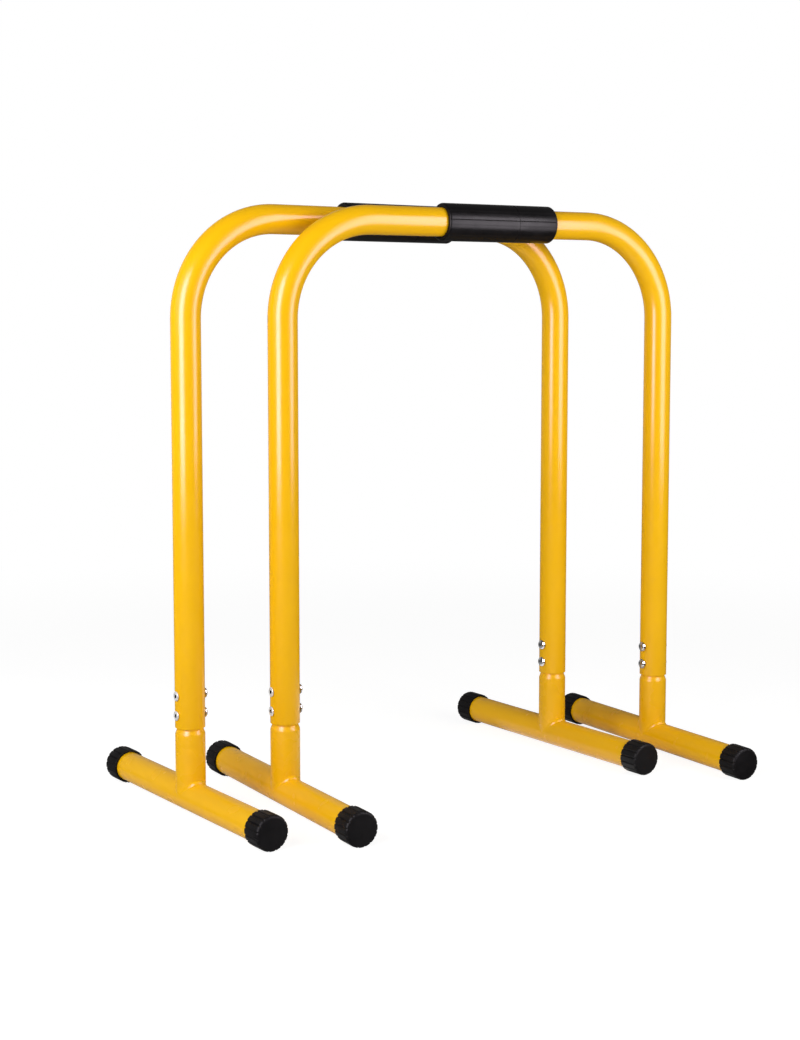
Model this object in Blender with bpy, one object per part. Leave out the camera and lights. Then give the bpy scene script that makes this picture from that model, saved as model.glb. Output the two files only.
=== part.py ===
"""A pair of free-standing dip bars in bent steel tube.

Each bar is one hollow tube bent to an inverted U, a sleeve grip on its top bar, and two T feet. A foot
is a straight tube with a coped neck welded on top. The neck narrows to a spigot that goes up inside the
leg, where two bolts with cap nuts hold it. Ribbed caps cover the ends of the foot tubes.

Metres, +Z up. The floor is z = 0, +X runs along the top bars and +Y along the feet. A bar's own pieces
are placed in that bar's frame, whose origin is on the floor under the middle of its top bar.
"""

import math

import bmesh
import bpy
from mathutils import Matrix, Vector

# Frame tube
TUBE_OD = 0.0381
TUBE_WALL = 0.0020
LEG_SPACING = 0.597
TOP_BAR_HEIGHT = 0.752
BEND_RADIUS = 0.127
LEG_END_HEIGHT = 0.111

# Foot tube, its length measured over both caps
FOOT_OD = 0.0381
FOOT_WALL = 0.0020
FOOT_LENGTH = 0.406

# Neck and spigot
NECK_WALL = 0.0020
SHOULDER_HEIGHT = 0.0080
SPIGOT_PAST_BOLT = 0.0225
SPIGOT_LEAD_IN = 0.0012

# Weld bead round the foot of the neck, widest in the corner over the foot tube
WELD_RADIUS = 0.0034
WELD_FLANK_SHARE = 0.45

# Grip sleeve
GRIP_WALL = 0.0056
GRIP_LENGTH = 0.172
GRIP_SHIFT = 0.020
GRIP_EDGE = 0.0030

# End caps of the feet
CAP_WALL = 0.0029
CAP_LENGTH = 0.0300
CAP_END_WALL = 0.0035
CAP_EDGE = 0.0040
CAP_RIBS = 16
CAP_CREST_SHARE = 0.60
CAP_GROOVE_DEPTH = 0.0013

# Bolts and cap nuts, the lower bolt placed up from the end of the leg
BOLT_RISE = 0.0165
BOLT_PITCH = 0.0250
SHANK_DIAMETER = 0.0080
HEAD_DIAMETER = 0.0124
HEAD_HEIGHT = 0.0013
HEAD_RIM = 0.0004
SOCKET_ACROSS_FLATS = 0.0050
SOCKET_DEPTH = 0.0018
NUT_DIAMETER = 0.0138
NUT_RIM = 0.0007
NUT_HEIGHT = 0.0040
NUT_END_WALL = 0.0012
NUT_TOP_LAND = 0.0030

# How the two bars of the pair stand
PAIR_OFFSET_X = 0.113
PAIR_OFFSET_Y = 0.068
PAIR_TURN = math.radians(4.64)

# Clearances
SEAT_GAP = 0.0003
DRILL_CLEARANCE = 0.0003
TIP_CLEARANCE = 0.0005

# Sizes that follow from the ones above
LEG_RADIUS = TUBE_OD / 2
FOOT_RADIUS = FOOT_OD / 2
GRIP_RADIUS = LEG_RADIUS + SEAT_GAP + GRIP_WALL
CAP_RADIUS = FOOT_RADIUS + SEAT_GAP + CAP_WALL
FOOT_AXIS_HEIGHT = CAP_RADIUS
SHOULDER_TOP = LEG_END_HEIGHT - SEAT_GAP
DRILL_RADIUS = SHANK_DIAMETER / 2 + DRILL_CLEARANCE
LOWER_BOLT = LEG_END_HEIGHT + BOLT_RISE
UPPER_BOLT = LOWER_BOLT + BOLT_PITCH
BOLT_HEIGHTS = {"lower": LOWER_BOLT, "upper": UPPER_BOLT}
SPIGOT_RADIUS = LEG_RADIUS - TUBE_WALL - SEAT_GAP
SPIGOT_TOP = UPPER_BOLT + SPIGOT_PAST_BOLT
NUT_BORE_DEPTH = NUT_HEIGHT - NUT_END_WALL

# Facets
TUBE_SIDES = 20
BEND_STEPS = 8
SHOULDER_STEPS = 4
WELD_STEPS = 14
EDGE_STEPS = 2
DRILL_SIDES = 8
FASTENER_SIDES = 12
CROWN_STEPS = 2
DOME_STEPS = 3

SMOOTH_ANGLE = math.radians(35)


def material(name, colour, roughness, metallic=0.0):
    """A Principled material."""
    made = bpy.data.materials.new(name)
    made.use_nodes = True
    shader = made.node_tree.nodes["Principled BSDF"]
    shader.inputs["Base Color"].default_value = (*colour, 1.0)
    shader.inputs["Roughness"].default_value = roughness
    shader.inputs["Metallic"].default_value = metallic
    made.diffuse_color = (*colour, 1.0)
    return made


def mesh_from(bm, name):
    """A smooth-shaded mesh, with hard edges kept, from a bmesh."""
    bmesh.ops.recalc_face_normals(bm, faces=bm.faces)
    mesh = bpy.data.meshes.new(name)
    bm.to_mesh(mesh)
    bm.free()
    mesh.shade_smooth()
    mesh.set_sharp_from_angle(angle=SMOOTH_ANGLE)
    return mesh


def turned(name, outline, sides):
    """A solid turned about Z from a closed outline of (radius, height) points."""
    bm = bmesh.new()
    verts = [bm.verts.new((radius, 0.0, height)) for radius, height in outline]
    edges = [bm.edges.new(pair) for pair in zip(verts, verts[1:] + verts[:1])]
    on_axis = [edge for edge in edges if all(v.co.x == 0.0 for v in edge.verts)]
    bmesh.ops.delete(bm, geom=on_axis, context="EDGES_FACES")
    bmesh.ops.spin(
        bm,
        geom=bm.verts[:] + bm.edges[:],
        cent=(0, 0, 0),
        axis=(0, 0, 1),
        angle=math.tau,
        steps=sides,
        use_merge=True,
    )
    bmesh.ops.remove_doubles(bm, verts=bm.verts, dist=1e-7)
    return mesh_from(bm, name)


def lofted(name, rings):
    """A solid through closed rings of equally many points, its first and last rings filled."""
    bm = bmesh.new()
    loops = [[bm.verts.new(point) for point in ring] for ring in rings]
    for lower, upper in zip(loops, loops[1:]):
        for a, b, c, d in zip(lower, lower[1:] + lower[:1], upper[1:] + upper[:1], upper):
            bm.faces.new((a, b, c, d))
    bm.faces.new(loops[0])
    bm.faces.new(loops[-1])
    return mesh_from(bm, name)


def quarter_round(radius, height, size_r, size_z, steps):
    """Points from (radius, height) inward by size_r and up by size_z, along a quarter ellipse."""
    angles = [math.pi / 2 * step / steps for step in range(steps + 1)]
    return [(radius - size_r * (1 - math.cos(a)), height + size_z * math.sin(a)) for a in angles]


def cylinder(radius, start, end, sides):
    """A plain cylinder mesh from one point to another, with a corner on the X axis where it can."""
    axis = end - start
    bm = bmesh.new()
    stance = Matrix.Translation((start + end) / 2) @ axis.to_track_quat("Z", "X").to_matrix().to_4x4()
    bmesh.ops.create_cone(
        bm, cap_ends=True, segments=sides, radius1=radius, radius2=radius, depth=axis.length, matrix=stance
    )
    return mesh_from(bm, "cylinder")


def evaluated_mesh(name, mesh, modify):
    """The mesh that modifiers give, where modify adds them to an object and returns its helpers."""
    body = bpy.data.objects.new(name, mesh)
    bpy.context.scene.collection.objects.link(body)
    helpers = modify(body)
    graph = bpy.context.evaluated_depsgraph_get()
    made = bpy.data.meshes.new_from_object(body.evaluated_get(graph))
    made.name = name
    for used in [body, *helpers]:
        bpy.data.objects.remove(used)
    made.shade_smooth()
    made.set_sharp_from_angle(angle=SMOOTH_ANGLE)
    return made


def cut(name, mesh, cutters):
    """The mesh with every cutter mesh taken out of it."""

    def add_booleans(body):
        helpers = []
        for cutter in cutters:
            helper = bpy.data.objects.new("cutter", cutter)
            helper.hide_render = True
            helper.display_type = "WIRE"
            bpy.context.scene.collection.objects.link(helper)
            boolean = body.modifiers.new("cut", "BOOLEAN")
            boolean.operation = "DIFFERENCE"
            boolean.solver = "EXACT"
            boolean.object = helper
            helpers.append(helper)
        return helpers

    return evaluated_mesh(name, mesh, add_booleans)


def walled(name, mesh, wall):
    """An open tube surface thickened inward to its wall."""

    def add_solidify(body):
        solidify = body.modifiers.new("wall", "SOLIDIFY")
        solidify.thickness = wall
        solidify.offset = -1.0
        solidify.use_even_offset = True
        return []

    return evaluated_mesh(name, mesh, add_solidify)


def bolt_drills(leg_x, datum):
    """Cutters for the two cross holes of one leg, at heights measured up from the datum."""
    reach = Vector((TUBE_OD, 0, 0))
    corner = DRILL_RADIUS / math.cos(math.pi / DRILL_SIDES)
    centres = [Vector((leg_x, 0, height - datum)) for height in BOLT_HEIGHTS.values()]
    return [cylinder(corner, centre - reach, centre + reach, DRILL_SIDES) for centre in centres]


def frame_mesh():
    """The bent tube: a ring swept up one leg, round a bend, across the top and down again."""
    leg_x = LEG_SPACING / 2
    bend_height = TOP_BAR_HEIGHT - BEND_RADIUS
    rise = Vector((0, 0, bend_height - LEG_END_HEIGHT))
    across = Vector((LEG_SPACING - 2 * BEND_RADIUS, 0, 0))
    bm = bmesh.new()
    start = Matrix.Translation((-leg_x, 0, LEG_END_HEIGHT))
    bmesh.ops.create_circle(bm, segments=TUBE_SIDES, radius=LEG_RADIUS, matrix=start)
    ring = bm.edges[:]

    def run(edges, step):
        grown = bmesh.ops.extrude_edge_only(bm, edges=edges)["geom"]
        moved = [v for v in grown if isinstance(v, bmesh.types.BMVert)]
        bmesh.ops.translate(bm, vec=step, verts=moved)
        return [e for e in grown if isinstance(e, bmesh.types.BMEdge)]

    def bend(edges, centre_x):
        verts = list({v for e in edges for v in e.verts})
        spun = bmesh.ops.spin(
            bm,
            geom=verts + edges,
            cent=(centre_x, 0, bend_height),
            axis=(0, 1, 0),
            angle=math.pi / 2,
            steps=BEND_STEPS,
        )
        return [e for e in spun["geom_last"] if isinstance(e, bmesh.types.BMEdge)]

    ring = run(ring, rise)
    ring = bend(ring, -leg_x + BEND_RADIUS)
    ring = run(ring, across)
    ring = bend(ring, leg_x - BEND_RADIUS)
    run(ring, -rise)
    tube = walled("frame", mesh_from(bm, "frame_surface"), TUBE_WALL)
    return cut("frame", tube, bolt_drills(-leg_x, 0) + bolt_drills(leg_x, 0))


def grip_mesh():
    """The sleeve over the top bar, with rounded outer edges, turned about Z."""
    bore = LEG_RADIUS + SEAT_GAP
    half = GRIP_LENGTH / 2
    upper = quarter_round(GRIP_RADIUS, half - GRIP_EDGE, GRIP_EDGE, GRIP_EDGE, EDGE_STEPS)
    lower = [(radius, -height) for radius, height in reversed(upper)]
    return turned("grip", [(bore, -half), *lower, *upper, (bore, half)], TUBE_SIDES)


def foot_tube_mesh():
    """The straight tube between the two caps, turned about Z."""
    half = FOOT_LENGTH / 2 - CAP_END_WALL - SEAT_GAP
    bore = FOOT_RADIUS - FOOT_WALL
    outline = [(bore, -half), (FOOT_RADIUS, -half), (FOOT_RADIUS, half), (bore, half)]
    return turned("foot_tube", outline, TUBE_SIDES)


def foot_cutter():
    """The foot tube's outer surface with the seating gap round it, about its own axis."""
    reach = Vector((0, FOOT_OD, 0))
    return cylinder(FOOT_RADIUS + SEAT_GAP, -reach, reach, TUBE_SIDES)


def swage(radius, start, drop, height, steps):
    """Points from (radius, start) up an S-shaped taper that ends narrower by drop."""
    shares = [step / steps for step in range(steps + 1)]
    return [(radius - drop * (1 - math.cos(math.pi * t)) / 2, start + height * t) for t in shares]


def neck_mesh():
    """The neck above the foot tube's axis: coped end, swaged shoulder and drilled spigot."""
    shoulder_drop = LEG_RADIUS - SPIGOT_RADIUS
    shoulder_start = SHOULDER_TOP - SHOULDER_HEIGHT - FOOT_AXIS_HEIGHT
    spigot_top = SPIGOT_TOP - FOOT_AXIS_HEIGHT
    shoulder = swage(LEG_RADIUS, shoulder_start, shoulder_drop, SHOULDER_HEIGHT, SHOULDER_STEPS)
    spigot_bore = SPIGOT_RADIUS - NECK_WALL
    neck_bore = LEG_RADIUS - NECK_WALL
    outer = [(LEG_RADIUS, 0.0), *shoulder, (SPIGOT_RADIUS, spigot_top - SPIGOT_LEAD_IN)]
    lead_in = [(SPIGOT_RADIUS - SPIGOT_LEAD_IN, spigot_top), (spigot_bore, spigot_top)]
    inner = [(spigot_bore, shoulder_start + SHOULDER_HEIGHT), (neck_bore, shoulder_start), (neck_bore, 0.0)]
    blank = turned("neck", outer + lead_in + inner, TUBE_SIDES)
    return cut("neck", blank, [foot_cutter(), *bolt_drills(0.0, FOOT_AXIS_HEIGHT)])


def weld_mesh():
    """A fillet bead on the saddle curve where the neck's surface meets the foot tube's."""
    curve = bpy.data.curves.new("bead", "CURVE")
    curve.dimensions = "3D"
    curve.bevel_depth = WELD_RADIUS
    curve.bevel_resolution = 1
    spline = curve.splines.new("POLY")
    spline.points.add(WELD_STEPS - 1)
    spline.use_cyclic_u = True
    for step, point in enumerate(spline.points):
        angle = math.tau * (step + 0.5) / WELD_STEPS
        x = LEG_RADIUS * math.cos(angle)
        y = LEG_RADIUS * math.sin(angle)
        z = math.sqrt(max(FOOT_RADIUS**2 - x**2, 0.0))
        point.co = (x, y, z, 1.0)
        point.radius = WELD_FLANK_SHARE + (1 - WELD_FLANK_SHARE) * abs(math.sin(angle))
    guide = bpy.data.objects.new("bead", curve)
    bpy.context.scene.collection.objects.link(guide)
    graph = bpy.context.evaluated_depsgraph_get()
    bead = bpy.data.meshes.new_from_object(guide.evaluated_get(graph))
    bpy.data.objects.remove(guide)
    top = Vector((0, 0, LEG_END_HEIGHT))
    neck_cutter = cylinder(LEG_RADIUS + SEAT_GAP, -top, top, TUBE_SIDES)
    return cut("weld", bead, [foot_cutter(), neck_cutter])


def cap_ring(crest, groove, height):
    """One ring of a ribbed cap: two crest points and one groove point for each rib."""
    pitch = math.tau / CAP_RIBS
    half_crest = pitch * CAP_CREST_SHARE / 2
    points = []
    for rib in range(CAP_RIBS):
        centre = -math.pi / 2 + rib * pitch
        for angle, radius in ((-half_crest, crest), (half_crest, crest), (pitch / 2, groove)):
            points.append((radius * math.cos(centre + angle), radius * math.sin(centre + angle), height))
    return points


def cap_mesh():
    """A ribbed cup along Z, open at z = 0, with one rib's flat crest facing -Y."""
    half_crest = math.pi / CAP_RIBS * CAP_CREST_SHARE
    crest = CAP_RADIUS / math.cos(half_crest)
    rings = [cap_ring(crest, crest - CAP_GROOVE_DEPTH, 0.0)]
    for radius, height in quarter_round(crest, CAP_LENGTH - CAP_EDGE, CAP_EDGE, CAP_EDGE, EDGE_STEPS):
        left = (CAP_LENGTH - height) / CAP_EDGE
        rings.append(cap_ring(radius, radius - CAP_GROOVE_DEPTH * left, height))
    bore_end = Vector((0, 0, CAP_LENGTH - CAP_END_WALL))
    mouth = Vector((0, 0, -CAP_END_WALL))
    bore = cylinder(FOOT_RADIUS + SEAT_GAP, mouth, bore_end, TUBE_SIDES)
    return cut("cap", lofted("cap_blank", rings), [bore])


def bolt_mesh():
    """A button-head bolt along Z: head above the leg's surface, shank down through leg and nut."""
    seat = LEG_RADIUS + SEAT_GAP
    tip = -seat - NUT_BORE_DEPTH + TIP_CLEARANCE
    shank = SHANK_DIAMETER / 2
    head = HEAD_DIAMETER / 2
    crown = quarter_round(head, seat + HEAD_RIM, head / 2, HEAD_HEIGHT - HEAD_RIM, CROWN_STEPS)
    top = seat + HEAD_HEIGHT
    outline = [(0.0, tip), (shank, tip), (shank, seat), (head, seat), *crown, (0.0, top)]
    blank = turned("bolt", outline, FASTENER_SIDES)
    corner = SOCKET_ACROSS_FLATS / 2 / math.cos(math.pi / 6)
    floor = Vector((0, 0, top - SOCKET_DEPTH))
    socket = cylinder(corner, floor, Vector((0, 0, top + SOCKET_DEPTH)), 6)
    return cut("bolt", blank, [socket])


def nut_mesh():
    """A domed cap nut along Z with its seat at z = 0: blind bore, low rim and dome in one skin."""
    radius = NUT_DIAMETER / 2
    bore = DRILL_RADIUS / math.cos(math.pi / FASTENER_SIDES)
    inset = radius - NUT_TOP_LAND / 2
    crown = quarter_round(radius, NUT_RIM, inset, NUT_HEIGHT - NUT_RIM, DOME_STEPS)
    outline = [(0.0, NUT_BORE_DEPTH), (bore, NUT_BORE_DEPTH), (bore, 0.0), (radius, 0.0)]
    return turned("nut", [*outline, *crown, (0.0, NUT_HEIGHT)], FASTENER_SIDES)


def place(name, mesh, paint, parent, location, rotation=(0.0, 0.0, 0.0)):
    """An object for one piece, in its bar's frame."""
    if not mesh.materials:
        mesh.materials.append(paint)
    piece = bpy.data.objects.new(name, mesh)
    piece.parent = parent
    piece.location = location
    piece.rotation_euler = rotation
    bpy.context.scene.collection.objects.link(piece)
    return piece


def build_meshes():
    """Each kind of piece once, with its material."""
    yellow = (0.93, 0.52, 0.015)
    black = (0.012, 0.011, 0.012)
    steel = (0.72, 0.72, 0.74)
    return {
        "frame": (frame_mesh(), material("frame_paint", yellow, 0.28)),
        "grip": (grip_mesh(), material("grip_sleeve", black, 0.38)),
        "foot_tube": (foot_tube_mesh(), material("foot_paint", yellow, 0.32)),
        "neck": (neck_mesh(), material("neck_paint", yellow, 0.30)),
        "weld": (weld_mesh(), material("weld_paint", yellow, 0.40)),
        "cap": (cap_mesh(), material("cap_rubber", black, 0.55)),
        "bolt": (bolt_mesh(), material("bolt_steel", steel, 0.18, 1.0)),
        "nut": (nut_mesh(), material("nut_steel", steel, 0.15, 1.0)),
    }


def build_foot(kinds, bar, prefix, side):
    """One T foot under a leg, side -1 for left and +1 for right, with its caps, bolts and nuts."""
    axis = Vector((side * LEG_SPACING / 2, 0, FOOT_AXIS_HEIGHT))
    upright = math.pi / 2
    place(f"{prefix}_foot_tube", *kinds["foot_tube"], bar, axis, (upright, 0, 0))
    place(f"{prefix}_neck", *kinds["neck"], bar, axis)
    place(f"{prefix}_weld", *kinds["weld"], bar, axis)
    for end, way in (("front", -1), ("back", 1)):
        mouth = axis + Vector((0, way * (FOOT_LENGTH / 2 - CAP_LENGTH), 0))
        turn = 0.0 if way < 0 else math.pi
        place(f"{prefix}_{end}_cap", *kinds["cap"], bar, mouth, (upright, 0, turn))
    for level, height in BOLT_HEIGHTS.items():
        centre = Vector((axis.x, 0, height))
        seat = centre - Vector((side * (LEG_RADIUS + SEAT_GAP), 0, 0))
        place(f"{prefix}_{level}_bolt", *kinds["bolt"], bar, centre, (0, side * upright, 0))
        place(f"{prefix}_{level}_nut", *kinds["nut"], bar, seat, (0, -side * upright, 0))


def build_bar(kinds, prefix, way):
    """One whole bar, way -1 for the near one and +1 for the far one."""
    bar = bpy.data.objects.new(f"{prefix}_bar", None)
    bar.location = (-way * PAIR_OFFSET_X / 2, way * PAIR_OFFSET_Y / 2, 0)
    bar.rotation_euler = (0, 0, way * PAIR_TURN / 2)
    bpy.context.scene.collection.objects.link(bar)
    place(f"{prefix}_frame", *kinds["frame"], bar, (0, 0, 0))
    place(f"{prefix}_grip", *kinds["grip"], bar, (GRIP_SHIFT, 0, TOP_BAR_HEIGHT), (0, math.pi / 2, 0))
    for side_name, side in (("left", -1), ("right", 1)):
        build_foot(kinds, bar, f"{prefix}_{side_name}", side)


def main():
    for old in list(bpy.data.objects):
        bpy.data.objects.remove(old)
    kinds = build_meshes()
    build_bar(kinds, "near", -1)
    build_bar(kinds, "far", 1)


main()
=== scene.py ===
# %% [markdown]
# # A pair of dip bars in bent yellow tube
#
# The object is a pair of tall free-standing bars. Each one is a steel tube bent to an inverted U,
# with a black sleeve to hold in the middle and a T-shaped foot under each leg. The solid parts are
# already made in CAD. This lesson builds every piece again, finer and on the same sizes, and mixes
# it a finish from nodes.
#
# We start by loading the CAD parts, whose sizes the dressed model keeps to.

# %% Load the solid parts
import math

import bmesh
import bpy
from mathutils import Matrix, Vector


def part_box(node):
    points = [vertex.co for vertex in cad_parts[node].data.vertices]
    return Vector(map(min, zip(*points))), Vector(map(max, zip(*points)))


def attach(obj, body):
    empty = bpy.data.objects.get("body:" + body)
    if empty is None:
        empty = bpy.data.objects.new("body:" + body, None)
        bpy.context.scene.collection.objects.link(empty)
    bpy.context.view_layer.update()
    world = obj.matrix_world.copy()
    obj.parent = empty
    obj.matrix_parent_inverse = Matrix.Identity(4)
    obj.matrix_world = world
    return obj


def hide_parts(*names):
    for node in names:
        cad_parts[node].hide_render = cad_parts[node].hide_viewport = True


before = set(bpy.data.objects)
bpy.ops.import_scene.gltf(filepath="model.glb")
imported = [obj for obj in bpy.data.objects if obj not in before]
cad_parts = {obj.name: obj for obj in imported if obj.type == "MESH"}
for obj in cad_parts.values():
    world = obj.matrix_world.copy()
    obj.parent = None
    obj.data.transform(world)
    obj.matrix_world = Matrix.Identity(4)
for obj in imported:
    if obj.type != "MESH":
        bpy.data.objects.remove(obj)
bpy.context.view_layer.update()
scene = bpy.context.scene

# %% [markdown]
# ## Where each bar stands
#
# The two bars stand a little turned against each other, as if put down by hand. It is easier to
# build a bar square to its own axes and turn the finished mesh at the end. So we first find each
# bar's own axes: X runs from its left foot to its right foot, and the origin is on the floor
# midway between them.

# %% Find the axes of each bar
def middle_of(node):
    """The middle of a CAD part's box."""
    low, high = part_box(node)
    return (low + high) / 2


def stance_of(bar):
    """The matrix that carries a bar's own axes to where it stands."""
    left = middle_of(f"{bar}_left_foot_tube")
    right = middle_of(f"{bar}_right_foot_tube")
    along = (right - left).normalized()
    up = Vector((0, 0, 1))
    origin = (left + right) / 2
    origin.z = 0
    turn = Matrix((along, up.cross(along), up)).transposed()
    return Matrix.Translation(origin) @ turn.to_4x4()


BARS = {bar: stance_of(bar) for bar in ("near", "far")}
for bar, stance in BARS.items():
    print(bar, "bar turned by", round(math.degrees(stance.to_euler().z), 2), "degrees")

# %% [markdown]
# ## Take the sizes from the parts
#
# Nothing is measured twice. The sizes of the dressed pieces are read from the CAD parts, in the
# near bar's own axes, where a leg is upright and a foot runs straight along Y.

# %% Measure the near bar
def extent(node):
    """Lowest and highest corner of one of the near bar's parts, in that bar's own axes."""
    to_bar = BARS["near"].inverted()
    points = [to_bar @ vertex.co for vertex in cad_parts[node].data.vertices]
    low = Vector(min(p[axis] for p in points) for axis in range(3))
    high = Vector(max(p[axis] for p in points) for axis in range(3))
    return low, high


tube_low, tube_high = extent("near_frame")
TUBE_RADIUS = (tube_high.y - tube_low.y) / 2
LEG_X = tube_high.x - TUBE_RADIUS
BAR_HEIGHT = tube_high.z - TUBE_RADIUS
LEG_END = tube_low.z

grip_low, grip_high = extent("near_grip")
GRIP_RADIUS = (grip_high.z - grip_low.z) / 2
GRIP_LENGTH = grip_high.x - grip_low.x
GRIP_X = (grip_high.x + grip_low.x) / 2

foot_low, foot_high = extent("near_left_foot_tube")
FOOT_RADIUS = (foot_high.z - foot_low.z) / 2
FOOT_AXIS = (foot_high.z + foot_low.z) / 2
FOOT_HALF = foot_high.y

cap_low, cap_high = extent("near_left_front_cap")
CAP_RADIUS = FOOT_AXIS
CAP_LENGTH = cap_high.y - cap_low.y
CAP_MOUTH = -cap_high.y

SPIGOT_TOP = extent("near_left_neck")[1].z

lower_low, lower_high = extent("near_left_lower_bolt")
upper_low, upper_high = extent("near_left_upper_bolt")
LOWER_BOLT = (lower_low.z + lower_high.z) / 2
BOLT_PITCH = (upper_low.z + upper_high.z) / 2 - LOWER_BOLT
HEAD_RADIUS = (lower_high.z - lower_low.z) / 2
HEAD_TOP = -LEG_X - lower_low.x
BOLT_TIP = lower_high.x + LEG_X

nut_low, nut_high = extent("near_left_lower_nut")
NUT_SEAT = nut_low.x + LEG_X
NUT_HEIGHT = nut_high.x - nut_low.x
NUT_RADIUS = (nut_high.y - nut_low.y) / 2

MEASURED = {
    "tube radius, leg, top bar": (TUBE_RADIUS, LEG_X, BAR_HEIGHT),
    "sleeve radius and length": (GRIP_RADIUS, GRIP_LENGTH),
    "foot radius, height, half length": (FOOT_RADIUS, FOOT_AXIS, FOOT_HALF),
    "cap radius, length, mouth": (CAP_RADIUS, CAP_LENGTH, CAP_MOUTH),
    "bolt height, pitch, head top": (LOWER_BOLT, BOLT_PITCH, HEAD_TOP),
    "nut seat, height, radius": (NUT_SEAT, NUT_HEIGHT, NUT_RADIUS),
}
for what, sizes in MEASURED.items():
    print(what, [round(size, 5) for size in sizes], "m")

# %% [markdown]
# ## Small helpers for nodes
#
# Geometry trees and materials are both graphs of nodes. The same helper adds a node to either: it
# sets the node's options, and fills each input with a number or links it to another node's output.
# The others are for sums, products and vectors, and for the start and the end of a geometry tree.

# %% Helpers for node graphs
def add_node(tree, kind, inputs=None, **options):
    """Add one node, set its options, fill or link its inputs, and return its outputs."""
    node = tree.nodes.new(kind)
    for option, value in options.items():
        setattr(node, option, value)
    for socket, value in (inputs or {}).items():
        if isinstance(value, bpy.types.NodeSocket):
            tree.links.new(value, node.inputs[socket])
        else:
            node.inputs[socket].default_value = value
    return node.outputs


def calc(tree, operation, *values):
    """One Math node. Each value is a number or another node's output."""
    return add_node(tree, "ShaderNodeMath", dict(enumerate(values)), operation=operation)[0]


def times(tree, product, *factors):
    """The product of two or more values."""
    for factor in factors:
        product = calc(tree, "MULTIPLY", product, factor)
    return product


def vector(tree, **parts):
    """A vector from its X, Y and Z, where any that is left out is 0."""
    return add_node(tree, "ShaderNodeCombineXYZ", parts)[0]


def new_tree(name, **inputs):
    """An empty geometry tree with named inputs, listed by kind. Returns it and those inputs."""
    tree = bpy.data.node_groups.new(name, "GeometryNodeTree")
    tree.interface.new_socket("Geometry", in_out="OUTPUT", socket_type="NodeSocketGeometry")
    for kind, labels in {"Material": ("Finish",), **inputs}.items():
        for label in labels:
            tree.interface.new_socket(label, in_out="INPUT", socket_type=f"NodeSocket{kind}")
    return tree, tree.nodes.new("NodeGroupInput").outputs


def end_tree(tree, given, geometry):
    """End a tree: make every instance real, give it its finish, and send it out."""
    real = add_node(tree, "GeometryNodeRealizeInstances", {"Geometry": geometry})[0]
    paint = {"Geometry": real, "Material": given["Finish"]}
    painted = add_node(tree, "GeometryNodeSetMaterial", paint)[0]
    add_node(tree, "NodeGroupOutput", {"Geometry": painted})
    return tree


print("helpers ready")

# %% [markdown]
# ## From a tree to a plain mesh
#
# A tree works as a modifier. We put it on an empty object, set its named inputs, let Blender
# evaluate it once, keep the result as an ordinary mesh, and throw the object away. Edges sharper
# than 35 degrees stay crisp, and all others are shaded smooth.

# %% Helpers for meshes
CRISP_ANGLE = math.radians(35)
MERGE_DISTANCE = 1e-6


def add_object(name, data):
    """A new object in the scene, from a mesh, a lamp or a camera."""
    thing = bpy.data.objects.new(name, data)
    scene.collection.objects.link(thing)
    return thing


def keep_result(name, mesh, add_modifiers):
    """The mesh that modifiers make of a mesh. add_modifiers returns the helper objects it used."""
    holder = add_object(name, mesh)
    helpers = add_modifiers(holder) or []
    graph = bpy.context.evaluated_depsgraph_get()
    made = bpy.data.meshes.new_from_object(holder.evaluated_get(graph))
    made.name = name
    for used in [holder, *helpers]:
        bpy.data.objects.remove(used)
    made.shade_smooth()
    made.set_sharp_from_angle(angle=CRISP_ANGLE)
    return made


def grow(name, tree, values):
    """The mesh that a geometry tree makes from its named inputs."""

    def add_tree(holder):
        modifier = holder.modifiers.new(name, "NODES")
        modifier.node_group = tree
        for item in tree.interface.items_tree:
            if item.in_out == "INPUT":
                modifier[item.identifier] = values[item.name]

    return keep_result(name, bpy.data.meshes.new(name), add_tree)


def face_outward(mesh):
    """Merge doubled points and turn all faces outwards. Returns the volume enclosed."""
    bm = bmesh.new()
    bm.from_mesh(mesh)
    bmesh.ops.remove_doubles(bm, verts=bm.verts, dist=MERGE_DISTANCE)
    bmesh.ops.recalc_face_normals(bm, faces=bm.faces)
    volume = bm.calc_volume(signed=True)
    bm.to_mesh(mesh)
    bm.free()
    return volume


def cylinder_between(start, end, radius, sides):
    """A plain closed cylinder, used only to cut with."""
    axis = end - start
    turn = axis.to_track_quat("Z", "X").to_matrix().to_4x4()
    stance = Matrix.Translation((start + end) / 2) @ turn
    bm = bmesh.new()
    size = {"segments": sides, "radius1": radius, "radius2": radius, "depth": axis.length}
    bmesh.ops.create_cone(bm, cap_ends=True, matrix=stance, **size)
    mesh = bpy.data.meshes.new("cutter")
    bm.to_mesh(mesh)
    bm.free()
    return mesh


def cut_away(name, mesh, cutters):
    """The mesh with every cutter taken out of it."""

    def add_cuts(holder):
        helpers = []
        for cutter in cutters:
            boolean = holder.modifiers.new("cut", "BOOLEAN")
            boolean.operation = "DIFFERENCE"
            boolean.solver = "EXACT"
            boolean.object = add_object("cutter", cutter)
            helpers.append(boolean.object)
        return helpers

    return keep_result(name, mesh, add_cuts)


print("mesh helpers ready")

# %% [markdown]
# ## Yellow powder coat
#
# The steel is coated with yellow powder that was melted in an oven. Such a coat is glossy, but it
# never lies quite flat: it has a faint skin like the peel of an orange, and it is a little thicker
# in one place than in another. So the colour drifts slightly between two yellows, the gloss
# varies, and a very low bump makes the skin. All three patterns read Object coordinates, so they
# run on without a seam from leg to bend to top bar. The gloss of this coat is faintly rosy, which
# turns the bright bands on the yellow from lemon to cream.
#
# Other finishes need a colour, a gloss and a relief too, so one helper leads all three to a shader.
# The scale of a pattern is in waves per metre, or on a UV map in waves per turn.

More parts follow.
